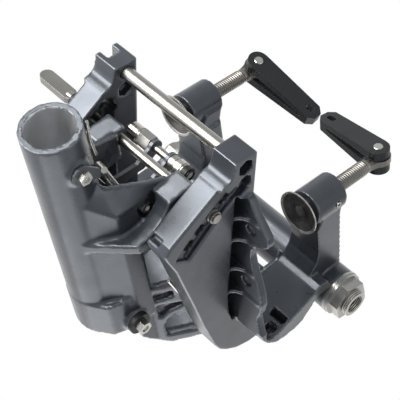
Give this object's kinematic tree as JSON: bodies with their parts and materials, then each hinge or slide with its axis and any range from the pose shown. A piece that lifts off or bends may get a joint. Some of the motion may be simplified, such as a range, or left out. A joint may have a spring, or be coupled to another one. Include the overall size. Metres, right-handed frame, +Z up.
{
  "type": "outboard transom clamp and swivel bracket",
  "caption": "Cast transom clamp brackets with screw handles, carrying a tilting swivel bracket with a steering barrel and a thrust rod stop.",
  "frame": {"origin": "middle of the tilt tube, on its axis", "axes": "+X to starboard along the tilt tube, +Y forward to the boat, +Z up, as it hangs on a transom"},
  "size_m": [0.2275, 0.2884, 0.2655],
  "materials": {
    "casting_paint": "satin dark blue-grey paint on cast aluminium",
    "handle_coat": "satin charcoal coat",
    "dark_plastic": "moulded, matt",
    "lever_paint": "satin grey paint",
    "bright_steel": "bare stainless steel"
  },
  "bodies": {
    "clamp_frame": {"boss_set_screw_port": "bright_steel", "boss_set_screw_starboard": "bright_steel", "clamp_bracket_port": "casting_paint", "clamp_bracket_starboard": "casting_paint", "thrust_rod": "bright_steel", "thrust_rod_clip": "bright_steel", "thrust_rod_sleeve": "dark_plastic", "tie_rod": "bright_steel", "tie_screw_starboard": "bright_steel", "tilt_bush_port": "dark_plastic", "tilt_bush_starboard": "dark_plastic", "tilt_nut_port": "bright_steel", "tilt_nut_starboard": "bright_steel", "tilt_tube": "bright_steel", "tilt_washer_port": "bright_steel", "tilt_washer_starboard": "bright_steel"},
    "swivel": {"swivel_bracket": "casting_paint", "lock_pivot_pin": "bright_steel", "lug_bolt": "bright_steel", "lug_lever": "lever_paint", "lock_link": "bright_steel", "barrel_wire": "bright_steel", "side_rod": "bright_steel", "cheek_bolt_port": "bright_steel", "cheek_bolt_starboard": "bright_steel", "side_bolt_port": "bright_steel", "side_bolt_starboard": "bright_steel", "side_washer_port": "dark_plastic", "side_washer_starboard": "dark_plastic"},
    "reverse_lock": {"lock_cap_port": "dark_plastic", "lock_collar_port": "dark_plastic", "lock_collar_starboard": "dark_plastic", "lock_nut": "bright_steel", "lock_plate_port": "lever_paint", "lock_plate_starboard": "lever_paint", "lock_ring_port": "bright_steel", "lock_shaft": "bright_steel"},
    "pad_port": {"clamp_pad_port": "bright_steel"},
    "screw_port": {"clamp_screw_port": "bright_steel"},
    "handle_port": {"clamp_handle_port": "handle_coat", "handle_pin_port": "bright_steel"},
    "pad_starboard": {"clamp_pad_starboard": "bright_steel"},
    "screw_starboard": {"clamp_screw_starboard": "bright_steel"},
    "handle_starboard": {"clamp_handle_starboard": "handle_coat", "handle_pin_starboard": "bright_steel"}
  },
  "joints": [
    {"name": "swivel_tilt", "type": "hinge", "parent": "clamp_frame", "child": "swivel", "pos_m": [0, 0, 0], "axis": [-1, 0, 0], "range_deg": [0, 68]},
    {"name": "reverse_lock_swing", "type": "hinge", "parent": "swivel", "child": "reverse_lock", "pos_m": [0, -0.14312, -0.14114], "axis": [1, 0, 0], "range_deg": [0, 20]},
    {"name": "clamp_slide_port", "type": "slide", "parent": "clamp_frame", "child": "pad_port", "axis": [0, -1, 0], "range_m": [0, 0.036]},
    {"name": "clamp_turn_port", "type": "hinge", "parent": "pad_port", "child": "screw_port", "pos_m": [-0.0673, 0, -0.0957], "axis": [0, -1, 0], "range_deg": [0, 6480]},
    {"name": "handle_fold_port", "type": "hinge", "parent": "screw_port", "child": "handle_port", "pos_m": [-0.0673, 0.0545, -0.0957], "axis": [-0.1736, 0, 0.9848], "range_deg": [-8.2, 171.8]},
    {"name": "clamp_slide_starboard", "type": "slide", "parent": "clamp_frame", "child": "pad_starboard", "axis": [0, -1, 0], "range_m": [0, 0.036]},
    {"name": "clamp_turn_starboard", "type": "hinge", "parent": "pad_starboard", "child": "screw_starboard", "pos_m": [0.0673, 0, -0.0957], "axis": [0, -1, 0], "range_deg": [0, 6480]},
    {"name": "handle_fold_starboard", "type": "hinge", "parent": "screw_starboard", "child": "handle_starboard", "pos_m": [0.0673, 0.0545, -0.0957], "axis": [-0.2756, 0, -0.9613], "range_deg": [-8.2, 171.8]}
  ],
  "couplings": [
    {"joint": "clamp_slide_port", "follows": "clamp_turn_port", "m_per_rad": 0.00031831},
    {"joint": "clamp_slide_starboard", "follows": "clamp_turn_starboard", "m_per_rad": 0.00031831}
  ]
}
